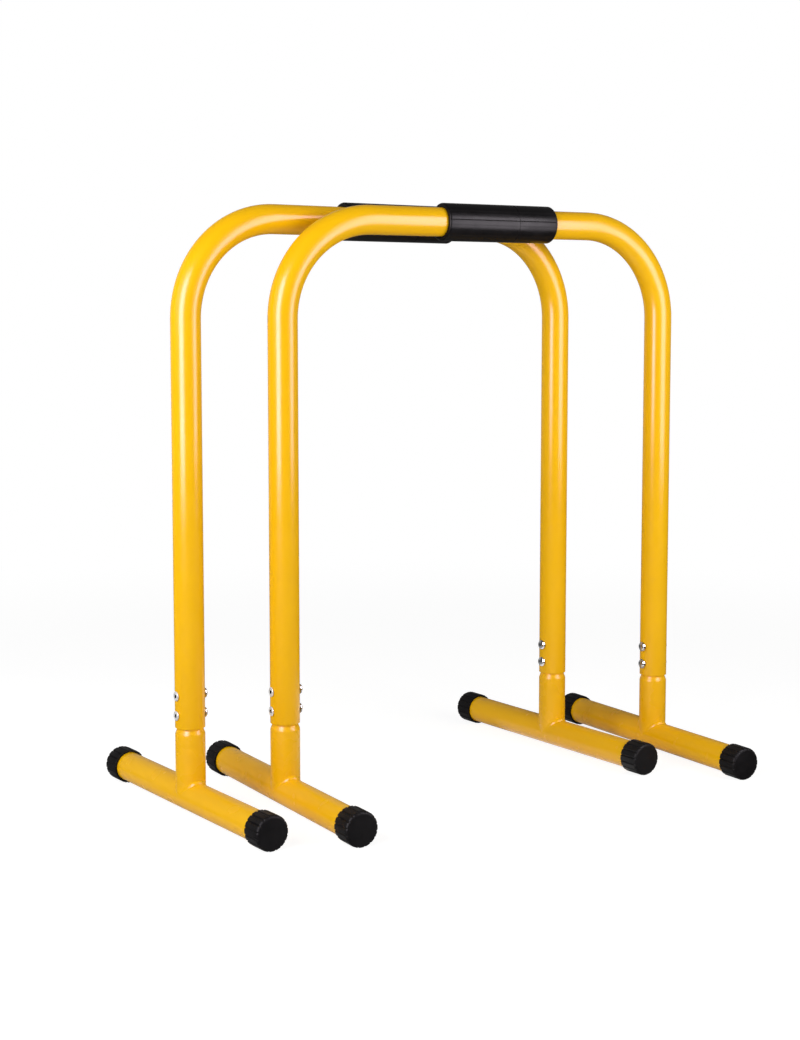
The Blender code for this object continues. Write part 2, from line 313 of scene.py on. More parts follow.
# %% Make the coat
YELLOW = (0.930, 0.505, 0.002)
DEEP_YELLOW = (0.890, 0.472, 0.002)
COAT_IOR = 1.42
COAT_GLOSS_TINT = (1.0, 0.64, 1.0)


def noise(tree, where, scale, detail=2.0):
    """A noise pattern."""
    waves = {"Vector": where, "Scale": scale, "Detail": detail}
    return add_node(tree, "ShaderNodeTexNoise", waves)["Fac"]


def spread(tree, value, low=0.0, high=1.0):
    """Stretch the middle of a noise pattern to run from low to high."""
    stretch = {"Value": value, "From Min": 0.3, "From Max": 0.7, "To Min": low, "To Max": high}
    return add_node(tree, "ShaderNodeMapRange", stretch)["Result"]


def blend(tree, share, first, second):
    """A colour between two colours."""
    mix = tree.nodes.new("ShaderNodeMix")
    mix.data_type = "RGBA"
    tree.links.new(share, mix.inputs["Factor"])
    for socket, colour in zip([s for s in mix.inputs if s.type == "RGBA"], (first, second)):
        socket.default_value = (*colour, 1.0)
    return next(s for s in mix.outputs if s.type == "RGBA")


def new_finish(name):
    """A plain material. Returns it, its tree, its shader's inputs and its Object coordinates."""
    finish = bpy.data.materials.new(name)
    finish.use_nodes = True
    tree = finish.node_tree
    where = add_node(tree, "ShaderNodeTexCoord")["Object"]
    return finish, tree, tree.nodes["Principled BSDF"].inputs, where


def dress(tree, shader, colour, gloss, rough, grain, depth):
    """Lead a colour, a gloss pattern and a relief of some depth in metres to the shader."""
    tree.links.new(colour, shader["Base Color"])
    tree.links.new(spread(tree, gloss, *rough), shader["Roughness"])
    relief = {"Height": grain, "Distance": depth, "Strength": 1.0}
    tree.links.new(add_node(tree, "ShaderNodeBump", relief)["Normal"], shader["Normal"])


def powder_coat(name, rough, peel):
    """A glossy powder coat that drifts between the two yellows."""
    finish, tree, shader, where = new_finish(name)
    colour = blend(tree, spread(tree, noise(tree, where, scale=7.0)), YELLOW, DEEP_YELLOW)
    gloss = noise(tree, where, scale=40.0)
    skin = noise(tree, where, scale=420.0, detail=1.0)
    dress(tree, shader, colour, gloss, rough, skin, peel)
    shader["IOR"].default_value = COAT_IOR
    shader["Specular Tint"].default_value = (*COAT_GLOSS_TINT, 1.0)
    return finish


frame_coat = powder_coat("frame_coat", rough=(0.20, 0.26), peel=0.0000025)
foot_coat = powder_coat("foot_coat", rough=(0.23, 0.28), peel=0.0000020)
neck_coat = powder_coat("neck_coat", rough=(0.25, 0.30), peel=0.0000020)
weld_coat = powder_coat("weld_coat", rough=(0.22, 0.30), peel=0.000006)
print("coats:", frame_coat.name, foot_coat.name, neck_coat.name, weld_coat.name)

# %% [markdown]
# ## Black rubber
#
# The sleeve and the caps are both black, but not alike. The sleeve has a slight sheen with fine
# lengthwise streaks. The caps are moulded, duller, with a fine grain. The streaks must follow the
# sleeve, so they read its own UV map, where U runs round and V runs along.

# %% Make the two rubbers
BLACK = (0.0032, 0.0028, 0.0032)
SOFT_BLACK = (0.0065, 0.0056, 0.0060)
RUBBER_GLOSS = 0.15
STREAK_STRETCH = (1.0, 0.02, 1.0)
STREAK_SHARE = 0.65
PORE_SHARE = 0.3


def sleeve_rubber(name):
    """Black sleeve rubber with fine streaks along it."""
    finish, tree, shader, where = new_finish(name)
    flat = add_node(tree, "ShaderNodeTexCoord")["UV"]
    along = add_node(tree, "ShaderNodeMapping", {"Vector": flat, "Scale": STREAK_STRETCH})["Vector"]
    streaks = noise(tree, along, scale=40.0, detail=3.0)
    colour = blend(tree, spread(tree, streaks), BLACK, SOFT_BLACK)
    patches = times(tree, noise(tree, where, scale=60.0), 1.0 - STREAK_SHARE)
    wear = calc(tree, "MULTIPLY_ADD", streaks, STREAK_SHARE, patches)
    pores = noise(tree, where, scale=1500.0, detail=1.0)
    relief = calc(tree, "MULTIPLY_ADD", pores, PORE_SHARE, streaks)
    dress(tree, shader, colour, wear, (0.20, 0.50), relief, 0.00006)
    shader["Specular IOR Level"].default_value = RUBBER_GLOSS
    return finish


def moulded_rubber(name):
    """Black moulded rubber with a fine grain."""
    finish, tree, shader, where = new_finish(name)
    colour = blend(tree, spread(tree, noise(tree, where, scale=55.0)), BLACK, SOFT_BLACK)
    gloss = noise(tree, where, scale=90.0)
    dress(tree, shader, colour, gloss, (0.42, 0.56), noise(tree, where, scale=1800.0), 0.00003)
    shader["Specular IOR Level"].default_value = RUBBER_GLOSS
    return finish


sleeve_finish = sleeve_rubber("sleeve_rubber")
cap_finish = moulded_rubber("cap_rubber")
print("rubbers:", sleeve_finish.name, cap_finish.name)

# %% [markdown]
# ## Bright plated steel
#
# The cap nuts are plated and polished. Metal has no colour of its own beside what it mirrors, so
# what makes it real is a gloss that is not the same all over, and a trace of bluish plating in the
# tint. The bolt heads are pale and satin, so that they look almost white in the light. They are
# shaded as metal in small part, and for the rest as a pale layer.
#
# Little light gets out of a socket, so its shade is painted in. The points in it carry a mark, 1
# inside and 0 elsewhere, and the plating's colour is painted dark, as shade, where it reads that mark.

# %% Make the plating
PLATE = (0.780, 0.785, 0.800)
DULL_PLATE = (0.600, 0.595, 0.600)
SATIN_PLATE = (0.930, 0.925, 0.930)
DULL_SATIN = (0.820, 0.815, 0.820)
SOCKET_MARK = "inside_socket"
SOCKET_PAINTED_SHADE = 0.05


def bright_plate(name, light, dull, metal_share, rough):
    """Plated steel between two shades, from satin to polished, with painted shade in a socket."""
    finish, tree, shader, where = new_finish(name)
    drift = spread(tree, noise(tree, where, scale=300.0))
    # Painted shade: the plating's colour is darkened where the socket mark is 1.
    inside = add_node(tree, "ShaderNodeAttribute", attribute_name=SOCKET_MARK)["Fac"]
    painted_socket_shade = calc(tree, "MULTIPLY_ADD", inside, SOCKET_PAINTED_SHADE - 1.0, 1.0)
    plate = {0: blend(tree, drift, light, dull), "Scale": painted_socket_shade}
    colour = add_node(tree, "ShaderNodeVectorMath", plate, operation="SCALE")["Vector"]
    gloss = noise(tree, where, scale=500.0)
    grain = noise(tree, where, scale=900.0, detail=1.0)
    dress(tree, shader, colour, gloss, rough, grain, 0.000004)
    shader["Metallic"].default_value = metal_share
    return finish


bolt_finish = bright_plate("bolt_plate", SATIN_PLATE, DULL_SATIN, metal_share=0.3, rough=(0.18, 0.28))
nut_finish = bright_plate("nut_plate", PLATE, DULL_PLATE, metal_share=1.0, rough=(0.07, 0.15))
print("plating:", bolt_finish.name, nut_finish.name)

# %% [markdown]
# ## The bent tube
#
# The main piece follows a rule: a circle swept along a path with two equal bends. So a geometry
# tree draws it. Four points make the path: the two leg ends and the two corners above them. Fillet
# Curve rounds the corners to the bend radius, and Curve to Mesh sweeps the circle along the path.

# %% Build the tree of the bent tube
def bent_tube_tree():
    """A tube swept up one leg, across the top and down the other."""
    sizes = ("Leg X", "Leg End", "Bar Height", "Bend Radius", "Tube Radius")
    tree, given = new_tree("bent tube", Float=sizes, Int=("Sides", "Bend Steps"))
    index = add_node(tree, "GeometryNodeInputIndex")[0]
    right_side = calc(tree, "GREATER_THAN", index, 1.5)
    signed_side = calc(tree, "MULTIPLY_ADD", right_side, 2.0, -1.0)
    x = times(tree, signed_side, given["Leg X"])
    from_middle = calc(tree, "ABSOLUTE", calc(tree, "SUBTRACT", index, 1.5))
    leg_end = calc(tree, "GREATER_THAN", from_middle, 1.0)
    drop = calc(tree, "SUBTRACT", given["Leg End"], given["Bar Height"])
    z = calc(tree, "MULTIPLY_ADD", leg_end, drop, given["Bar Height"])
    corner = vector(tree, X=x, Z=z)
    points = add_node(tree, "GeometryNodeMeshLine", {"Count": 4})[0]
    route = add_node(tree, "GeometryNodeSetPosition", {"Geometry": points, "Position": corner})[0]
    line = add_node(tree, "GeometryNodeMeshToCurve", {"Mesh": route})[0]
    bend = {"Curve": line, "Count": given["Bend Steps"], "Radius": given["Bend Radius"]}
    path = add_node(tree, "GeometryNodeFilletCurve", bend, mode="POLY")[0]
    circle = {"Resolution": given["Sides"], "Radius": given["Tube Radius"]}
    ring = add_node(tree, "GeometryNodeCurvePrimitiveCircle", circle)[0]
    skin = add_node(tree, "GeometryNodeCurveToMesh", {"Curve": path, "Profile Curve": ring})[0]
    return end_tree(tree, given, skin)


BEND_RADIUS = 0.127
route = {"Leg X": LEG_X, "Leg End": LEG_END, "Bar Height": BAR_HEIGHT, "Bend Radius": BEND_RADIUS}
tube = {"Tube Radius": TUBE_RADIUS, "Sides": 72, "Bend Steps": 28, "Finish": frame_coat}
bent_tube = grow("bent_tube_skin", bent_tube_tree(), {**route, **tube})
face_outward(bent_tube)
print("bent tube skin:", len(bent_tube.polygons), "faces")

# %% [markdown]
# ### Wall, rims and bolt holes
#
# The swept skin has no thickness yet. Solidify gives it the wall of a steel tube, inwards so that
# the outside keeps its size, and Bevel breaks the sharp rims at the leg ends, which show as a thin
# dark line where the leg stands on the foot. Then each leg is drilled across for its two bolts.

# %% Give the tube its wall and its holes
TUBE_WALL = 0.0020
RIM_ROUND = 0.0003
HOLE_RADIUS = 0.0043
BOLT_HEIGHTS = (LOWER_BOLT, LOWER_BOLT + BOLT_PITCH)


def wall_and_rims(holder):
    """A wall inwards from the skin, and rounded rims."""
    solidify = holder.modifiers.new("wall", "SOLIDIFY")
    solidify.thickness = TUBE_WALL
    solidify.offset = -1.0
    solidify.use_even_offset = True
    bevel = holder.modifiers.new("rims", "BEVEL")
    bevel.width = RIM_ROUND
    bevel.segments = 3
    bevel.limit_method = "ANGLE"
    bevel.angle_limit = math.radians(60)


def cross_holes(leg_x, datum):
    """Cutters for the two holes across a leg, at heights above a datum."""
    reach = Vector((2 * TUBE_RADIUS, 0, 0))
    centres = [Vector((leg_x, 0, height - datum)) for height in BOLT_HEIGHTS]
    return [cylinder_between(c - reach, c + reach, HOLE_RADIUS, 32) for c in centres]


bent_tube = keep_result("bent_tube_wall", bent_tube, wall_and_rims)
bent_tube = cut_away("bent_tube", bent_tube, cross_holes(-LEG_X, 0) + cross_holes(LEG_X, 0))
print("bent tube:", len(bent_tube.polygons), "faces")

# %% [markdown]
# ## One tree for every turned piece
#
# The sleeve, the foot tube, the neck, the caps, the bolts and the nuts are all turned shapes: an
# outline carried round an axis. Some are not round all the way: a cap has ribs, the sleeve has a
# line along it, a bolt head has a six-sided socket. One rule covers them all. Each outline point
# has a radius, a height and a form. Form 0 keeps its ring round, and form 1 gives it the full
# flats and grooves. The tree lays a grid of rows and columns, and moves each grid point to where
# the outline and the rule put it.
#
# Within one rib, the crest is flat, so its radius grows as 1 / cos(angle) away from the middle of
# the rib, and past the crest's edge it falls smoothly into the groove.

# %% Build the turning tree
def lay_lattice(tree, given, columns):
    """A grid with a row for each outline point, its column numbers, and each row's outline point."""
    outline = add_node(tree, "GeometryNodeObjectInfo", {"Object": given["Outline"]})["Geometry"]
    lattice = {"Vertices X": columns, "Vertices Y": given["Rows"], "Size X": 1.0, "Size Y": 1.0}
    grid = add_node(tree, "GeometryNodeMeshGrid", lattice)
    index = add_node(tree, "GeometryNodeInputIndex")[0]
    column = calc(tree, "FLOOR", calc(tree, "DIVIDE", index, given["Rows"]))
    row = calc(tree, "MODULO", index, given["Rows"])
    position = add_node(tree, "GeometryNodeInputPosition")[0]
    pick = {"Geometry": outline, "Value": position, "Index": row}
    point = add_node(tree, "GeometryNodeSampleIndex", pick, data_type="FLOAT_VECTOR")[0]
    return grid, column, point


def move_and_merge(tree, geometry, place):
    """Move each point to its place, and merge points that meet."""
    moved = add_node(tree, "GeometryNodeSetPosition", {"Geometry": geometry, "Position": place})[0]
    merge = {"Geometry": moved, "Distance": MERGE_DISTANCE}
    return add_node(tree, "GeometryNodeMergeByDistance", merge)[0]


def turning_tree():
    """A turned piece with flats and grooves, from an outline of (radius, form, height) points."""
    counts = ("Rows", "Ribs", "Columns per Rib")
    rib = ("Crest Share", "Flatness", "Groove Depth", "Start Angle")
    tree, given = new_tree("turned piece", Object=("Outline",), Int=counts, Float=rib)
    columns = times(tree, given["Ribs"], given["Columns per Rib"])
    grid, column, point = lay_lattice(tree, given, calc(tree, "ADD", columns, 1.0))
    radius, form, height = add_node(tree, "ShaderNodeSeparateXYZ", {0: point})

    turns = calc(tree, "DIVIDE", column, columns)
    angle = calc(tree, "MULTIPLY_ADD", turns, math.tau, given["Start Angle"])
    in_ribs = times(tree, turns, given["Ribs"])
    phase = calc(tree, "ABSOLUTE", calc(tree, "SUBTRACT", calc(tree, "FRACT", in_ribs), 0.5))
    pitch = calc(tree, "DIVIDE", math.tau, given["Ribs"])
    off_middle = times(tree, calc(tree, "SUBTRACT", 0.5, phase), pitch)
    half_crest = times(tree, given["Crest Share"], pitch, 0.5)
    on_crest = calc(tree, "MINIMUM", off_middle, half_crest)
    flat = calc(tree, "DIVIDE", 1.0, calc(tree, "COSINE", on_crest))
    flat_share = times(tree, form, given["Flatness"])
    growth = calc(tree, "MULTIPLY_ADD", calc(tree, "SUBTRACT", flat, 1.0), flat_share, 1.0)
    fall = {"Value": off_middle, "From Min": half_crest, "From Max": times(tree, pitch, 0.5)}
    groove = add_node(tree, "ShaderNodeMapRange", fall, interpolation_type="SMOOTHSTEP")["Result"]
    depth = times(tree, groove, given["Groove Depth"], form)
    reach = calc(tree, "SUBTRACT", times(tree, radius, growth), depth)

    x = times(tree, reach, calc(tree, "COSINE", angle))
    y = times(tree, reach, calc(tree, "SINE", angle))
    place = vector(tree, X=x, Y=y, Z=height)
    mapped = {"Geometry": grid["Mesh"], "Name": "UVMap", "Value": grid["UV Map"]}
    as_corners = {"data_type": "FLOAT2", "domain": "CORNER"}
    kept = add_node(tree, "GeometryNodeStoreNamedAttribute", mapped, **as_corners)[0]
    return end_tree(tree, given, move_and_merge(tree, kept, place))


TURNING = turning_tree()
print("turning tree:", len(TURNING.nodes), "nodes")

# %% [markdown]
# ### Outlines
#
# An outline is a short list of points. Three helpers keep it readable: one draws a quarter round
# between two directions, one hands the list to a tree as a line of points, and one turns it into a
# piece. The middle of the first rib is at the start angle, so a flat can be made to face any way.

# %% Helpers for turned pieces
def quarter(centre_radius, centre_height, size_r, size_h, start, end, steps=6, form=(0.0, 0.0)):
    """Points on a quarter ellipse from one angle to another, in degrees, with their form."""
    points = []
    for step in range(steps + 1):
        share = step / steps
        angle = math.radians(start + (end - start) * share)
        radius = centre_radius + size_r * math.cos(angle)
        height = centre_height + size_h * math.sin(angle)
        points.append((radius, height, form[0] + (form[1] - form[0]) * share))
    return points


def grow_outline(name, tree, outline, values):
    """The mesh that a tree makes from an outline, with its faces turned outwards."""
    wire = bpy.data.meshes.new("outline")
    wire.from_pydata(outline, [(i, i + 1) for i in range(len(outline) - 1)], [])
    guide = add_object("outline", wire)
    mesh = grow(name, tree, {**values, "Outline": guide, "Rows": len(outline)})
    bpy.data.objects.remove(guide)
    volume = face_outward(mesh)
    print(name, len(mesh.polygons), "faces,", round(volume * 1e6, 2), "cubic centimetres")
    return mesh


def turn_piece(name, outline, finish, ribs=8, columns=9, crest=1.0, flatness=0.0, groove=0.0, start=0.0):
    """A turned piece from (radius, height) or (radius, height, form) points."""
    rows = [(p[0], p[2] if len(p) > 2 else 0.0, p[1]) for p in outline]
    counts = {"Ribs": ribs, "Columns per Rib": columns, "Start Angle": start}
    rib = {"Crest Share": crest, "Flatness": flatness, "Groove Depth": groove}
    return grow_outline(name, TURNING, rows, {**counts, **rib, "Finish": finish})


print("outline helpers ready")

# %% [markdown]
# ## The sleeve to hold
#
# A sleeve of firm black rubber sits on the top bar. Its ends are rounded, and the mould left a
# fine line along it where its halves met. That line is a groove of the turning tree: two ribs
# round the sleeve with almost no space between them. One more line runs round the sleeve, and is a
# small nick in its outline.

# %% Turn the sleeve
SEAT_GAP = 0.0003
GRIP_EDGE = 0.0030
GRIP_LINE_DEPTH = 0.0008
GRIP_LINE_SHARE = 0.985
GRIP_LINE_RISE = math.radians(6.5)
GRIP_RING = 0.024
GRIP_NICK = 0.0005
GRIP_LIP = 0.0004


def sleeve_mesh():
    """The sleeve along Z, bored to fit the top bar."""
    bore = TUBE_RADIUS + SEAT_GAP
    half = GRIP_LENGTH / 2
    inner = GRIP_RADIUS - GRIP_EDGE
    nick_sides = [(GRIP_RADIUS, GRIP_RING + side, 1.0) for side in (-GRIP_NICK, GRIP_NICK)]
    nick = [nick_sides[0], (GRIP_RADIUS - GRIP_NICK, GRIP_RING, 1.0), nick_sides[1]]
    low_end = quarter(inner, -half + GRIP_EDGE, GRIP_EDGE, GRIP_EDGE, -90, 0, 8, (0.0, 1.0))
    high_end = quarter(inner, half - GRIP_EDGE, GRIP_EDGE, GRIP_EDGE, 0, 90, 8, (1.0, 0.0))
    low_lip = [(bore, -half + GRIP_LIP), (bore + GRIP_LIP, -half)]
    high_lip = [(bore + GRIP_LIP, half), (bore, half - GRIP_LIP)]
    outline = low_lip + low_end + nick + high_end + high_lip + low_lip[:1]
    line = {"ribs": 2, "columns": 180, "crest": GRIP_LINE_SHARE, "groove": GRIP_LINE_DEPTH}
    return turn_piece("sleeve", outline, sleeve_finish, start=-GRIP_LINE_RISE, **line)


sleeve = sleeve_mesh()

# %% [markdown]
# ## The foot tube and the neck
#
# The foot is a straight tube. On top of it stands the neck, a short tube of the same size. Its top
# is swaged: squeezed in over a rounded shoulder to a spigot that slips up inside the leg. The
# shoulder is what catches the light just under the leg. The bottom of the neck is coped, which
# means cut to the round of the foot tube, so we cut it with a cylinder lying along the foot.

# %% Turn the foot tube and the neck
FOOT_WALL = 0.0020
NECK_WALL = 0.0020
SHOULDER_HEIGHT = 0.0080
SHOULDER_STEPS = 16
SPIGOT_LEAD_IN = 0.0012
SEAM_GROOVE = 0.0007
COPE_OVERLAP = 0.0003


def foot_tube_mesh():
    """The foot tube along Z, open at both ends."""
    bore = FOOT_RADIUS - FOOT_WALL
    low_end = [(bore, -FOOT_HALF), (FOOT_RADIUS, -FOOT_HALF)]
    high_end = [(FOOT_RADIUS, FOOT_HALF), (bore, FOOT_HALF)]
    return turn_piece("foot_tube", low_end + high_end + low_end[:1], foot_coat)


def neck_mesh():
    """The neck with its spigot, standing on the foot tube's axis, coped and drilled."""
    spigot = TUBE_RADIUS - TUBE_WALL - SEAT_GAP
    top = SPIGOT_TOP - FOOT_AXIS
    shoulder_top = LEG_END - SEAT_GAP - SEAM_GROOVE - FOOT_AXIS
    shoulder = shoulder_top - SHOULDER_HEIGHT
    drop = TUBE_RADIUS - spigot
    swage = []
    for step in range(SHOULDER_STEPS + 1):
        t = step / SHOULDER_STEPS
        squeeze = drop * (1 - math.cos(math.pi * t)) / 2
        swage.append((TUBE_RADIUS - squeeze, shoulder + SHOULDER_HEIGHT * t))
    bore = TUBE_RADIUS - NECK_WALL
    spigot_bore = spigot - NECK_WALL
    top_end = [(spigot, top - SPIGOT_LEAD_IN), (spigot - SPIGOT_LEAD_IN, top), (spigot_bore, top)]
    inside = [(spigot_bore, shoulder_top), (bore, shoulder), (bore, 0.0)]
    outline = [(bore, 0.0), (TUBE_RADIUS, 0.0), *swage, *top_end, *inside]
    blank = turn_piece("neck_blank", outline, neck_coat)
    reach = Vector((0, 2 * FOOT_RADIUS, 0))
    cope = cylinder_between(-reach, reach, FOOT_RADIUS - COPE_OVERLAP, 96)
    return cut_away("neck", blank, [cope, *cross_holes(0.0, FOOT_AXIS)])


foot_tube = foot_tube_mesh()
neck = neck_mesh()
print("neck:", len(neck.polygons), "faces")

# %% [markdown]
# ## The weld bead
#
# The neck is welded to the foot. Where two tubes of one size meet at a right angle, the seam is a
# saddle: high at the front and back, and down at the foot's mid-height on both sides. Cut through
# it in any plane square to X and the two tubes make a plain right-angled corner. So the bead is a
# small outline set in that corner, carried along the seam. It is full at the front and back and
# runs out to nothing at the sides, and it has the low ripples that a welder leaves with each dab
# of the torch. A geometry tree lays one bead and turns a copy of it to the other side.

# %% Build the tree of the weld bead
SWELL_LENGTH = 6.0
SWELL_SCALE = 1.5
SWELL_SHARE = 2.0


def weld_tree():
    """Two rippled beads in the saddle seam of two equal tubes, from an (out, up) outline."""
    sizes = ("Tube Radius", "Bead Size", "Fade", "End Angle", "Ripples", "Ripple Share", "Seed")
    tree, given = new_tree("weld bead", Object=("Outline",), Int=("Rows", "Columns"), Float=sizes)
    grid, column, point = lay_lattice(tree, given, given["Columns"])
    out, up, _ = add_node(tree, "ShaderNodeSeparateXYZ", {0: point})

    share = calc(tree, "DIVIDE", column, calc(tree, "SUBTRACT", given["Columns"], 1.0))
    span = calc(tree, "MULTIPLY_ADD", given["End Angle"], -2.0, math.pi)
    angle = calc(tree, "MULTIPLY_ADD", share, span, given["End Angle"])
    arch = calc(tree, "MAXIMUM", calc(tree, "SINE", times(tree, share, math.pi)), 0.0)
    fullness = calc(tree, "POWER", arch, given["Fade"])
    beats = times(tree, given["Ripples"], math.tau, share)
    along = vector(tree, X=times(tree, share, SWELL_LENGTH))
    swell = {"Vector": along, "W": given["Seed"], "Scale": SWELL_SCALE, "Detail": 1.0}
    uneven = add_node(tree, "ShaderNodeTexNoise", swell, noise_dimensions="4D")["Fac"]
    centred = calc(tree, "SUBTRACT", uneven, 0.5)
    drift = calc(tree, "MULTIPLY_ADD", centred, SWELL_SHARE, calc(tree, "SINE", beats))
    ripple = calc(tree, "MULTIPLY_ADD", drift, given["Ripple Share"], 1.0)
    size = times(tree, given["Bead Size"], fullness, ripple)

    x = times(tree, given["Tube Radius"], calc(tree, "COSINE", angle))
    seam = times(tree, given["Tube Radius"], calc(tree, "SINE", angle))
    forward = calc(tree, "MULTIPLY_ADD", out, size, seam)
    height = calc(tree, "MULTIPLY_ADD", up, size, seam)
    place = vector(tree, X=x, Y=times(tree, forward, -1.0), Z=height)
    front = move_and_merge(tree, grid["Mesh"], place)
    half_turn = {"Geometry": front, "Rotation": (0.0, 0.0, math.pi)}
    back = add_node(tree, "GeometryNodeTransform", half_turn)[0]
    both = add_node(tree, "GeometryNodeJoinGeometry", {"Geometry": front})[0]
    tree.links.new(back, both.node.inputs[0])
    return end_tree(tree, given, both)


WELD = weld_tree()
print("weld tree:", len(WELD.nodes), "nodes")

# %% [markdown]
# ### Grow a bead for each foot
#
# The outline is drawn in units of the bead's size. It runs down a slightly bulging face from the
# neck to the foot, and closes under both surfaces, where it can't be seen. Each foot gets its own
# seed, so no two feet are quite the same.

# %% Grow the four beads
WELD_SIZE = 0.0040
WELD_BULGE = 0.16
WELD_SINK = 0.14
WELD_OVERRUN = 0.04
WELD_FACE_STEPS = 10


def weld_mesh(seed):
    """The two beads of one foot, front and back."""
    size = {"Columns": 160, "Tube Radius": TUBE_RADIUS, "Bead Size": WELD_SIZE}
    run_out = {"Fade": 0.8, "End Angle": math.radians(1.5)}
    ripples = {"Ripples": 15.0, "Ripple Share": 0.02, "Seed": float(seed)}
    far_end = 1 + WELD_OVERRUN
    outline = [(-WELD_SINK, -WELD_SINK, 0.0), (-WELD_SINK, far_end, 0.0)]
    for step in range(WELD_FACE_STEPS + 1):
        t = (far_end + WELD_OVERRUN) * step / WELD_FACE_STEPS - WELD_OVERRUN
        bulge = WELD_BULGE * 4 * t * (1 - t)
        outline.append((t + bulge, 1 - t + bulge, 0.0))
    outline += [(far_end, -WELD_SINK, 0.0), outline[0]]
    return grow_outline("weld_bead", WELD, outline, {**size, **run_out, **ripples, "Finish": weld_coat})


welds = [weld_mesh(seed) for seed in range(4)]

# %% [markdown]
# ## The ribbed caps
#
# A rubber cup is pushed over each end of a foot tube. It has sixteen broad flat ribs with narrow
# grooves between them, and the ribs run out over the rounded end into a smooth face. One rib faces
# straight down, so that the foot rests flat on it.

# %% Turn the caps
CAP_RIBS = 16
CAP_CREST_SHARE = 0.60
CAP_GROOVE_DEPTH = 0.0013
CAP_RIM = 0.0005
CAP_EDGE = 0.0040
CAP_END_WALL = 0.0035


def cap_mesh():
    """A cap along Z, with its mouth at z = 0 and its closed end at the top."""
    bore = FOOT_RADIUS + SEAT_GAP
    floor = CAP_LENGTH - CAP_END_WALL
    inner_rim = quarter(bore + CAP_RIM, CAP_RIM, CAP_RIM, CAP_RIM, 180, 270, 3)
    outer_rim = quarter(CAP_RADIUS - CAP_RIM, CAP_RIM, CAP_RIM, CAP_RIM, 270, 360, 3, (0.9, 1.0))
    centre = (CAP_RADIUS - CAP_EDGE, CAP_LENGTH - CAP_EDGE)
    edge = quarter(*centre, CAP_EDGE, CAP_EDGE, 0, 90, 10, (1.0, 0.0))
    cup = [(0.0, floor), (bore, floor)]
    outline = cup + inner_rim + outer_rim + edge + [(0.0, CAP_LENGTH)]
    ribs = {"ribs": CAP_RIBS, "columns": 16, "crest": CAP_CREST_SHARE, "groove": CAP_GROOVE_DEPTH}
    return turn_piece("cap", outline, cap_finish, flatness=1.0, start=-math.pi / 2, **ribs)


cap = cap_mesh()

# %% [markdown]
# ## Bolts and cap nuts
#
# Two bolts go through each leg and the spigot inside it. The head is a thin button with a hexagon
# socket, on the outer side of the leg, and a smooth domed cap nut closes the inner side. Both come
# from the turning tree. On the bolt it has six flats, which only the rows of the socket take.

# %% Turn a bolt and a nut
SHANK_RADIUS = 0.0040
TIP_EDGE = 0.0005
HEAD_RIM = 0.0004
HEAD_SEAT_EDGE = 0.0002
HEAD_EDGE = 0.0014
SOCKET_FLAT = 0.0021
SOCKET_DEPTH = 0.0018
SOCKET_LIP = 0.0003
NUT_EDGE = 0.0003
NUT_RIM = 0.0007
NUT_BORE_DEPTH = 0.0028
NUT_TOP_LAND = 0.0015


def bolt_mesh():
    """A bolt along Z, with its head outwards and the points of its socket marked for painted shade."""
    seat = TUBE_RADIUS + SEAT_GAP
    crown_height = HEAD_TOP - seat - HEAD_RIM
    crown = quarter(HEAD_RADIUS - HEAD_EDGE, seat + HEAD_RIM, HEAD_EDGE, crown_height, 0, 90, 10)
    tip = [(0.0, -BOLT_TIP), (SHANK_RADIUS - TIP_EDGE, -BOLT_TIP), (SHANK_RADIUS, TIP_EDGE - BOLT_TIP)]
    under_head = [(SHANK_RADIUS, seat), (HEAD_RADIUS - HEAD_SEAT_EDGE, seat)]
    rim = [(HEAD_RADIUS, seat + HEAD_SEAT_EDGE)]
    lip = [(SOCKET_FLAT + 2 * SOCKET_LIP, HEAD_TOP, 0.0), (SOCKET_FLAT, HEAD_TOP - SOCKET_LIP, 1.0)]
    floor = HEAD_TOP - SOCKET_DEPTH
    socket = [(SOCKET_FLAT, floor, 1.0), (0.0, floor, 0.0)]
    outline = tip + under_head + rim + crown + lip + socket
    mesh = turn_piece("bolt", outline, bolt_finish, ribs=6, columns=10, flatness=1.0)
    corner = SOCKET_FLAT / math.cos(math.pi / 6)
    # Mark the socket's points, where the plating's colour gets painted shade.
    marks = mesh.attributes.new(SOCKET_MARK, "FLOAT", "POINT").data
    for vertex, mark in zip(mesh.vertices, marks):
        reach = math.hypot(vertex.co.x, vertex.co.y)
        mark.value = float(reach < corner + SOCKET_LIP / 2 and vertex.co.z > 0)
    return mesh


def nut_mesh():
    """A cap nut along Z, with its open end against the far side of the leg."""
    bore = HOLE_RADIUS
    cup = [(0.0, NUT_BORE_DEPTH), (bore, NUT_BORE_DEPTH), (bore, NUT_EDGE), (bore + NUT_EDGE, 0.0)]
    rim = [(NUT_RADIUS - NUT_EDGE, 0.0), (NUT_RADIUS, NUT_EDGE)]
    dome = NUT_RADIUS - NUT_TOP_LAND
    crown = quarter(NUT_TOP_LAND, NUT_RIM, dome, NUT_HEIGHT - NUT_RIM, 0, 90, 14)
    mesh = turn_piece("nut", cup + rim + crown + [(0.0, NUT_HEIGHT)], nut_finish)
    mesh.transform(Matrix.Rotation(math.pi, 4, "X"))
    mesh.transform(Matrix.Translation((0, 0, -NUT_SEAT)))
    return mesh


bolt = bolt_mesh()
nut = nut_mesh()

# %% [markdown]
# ### Set them in rows
#
# The two bolts of a leg are the same bolt twice, so a tree sets them: a line of points with one
# instance on each. Nobody lines up the sockets when tightening bolts, so each is turned about its
# own axis by a random angle. The seed is fixed, so the result is the same every time.

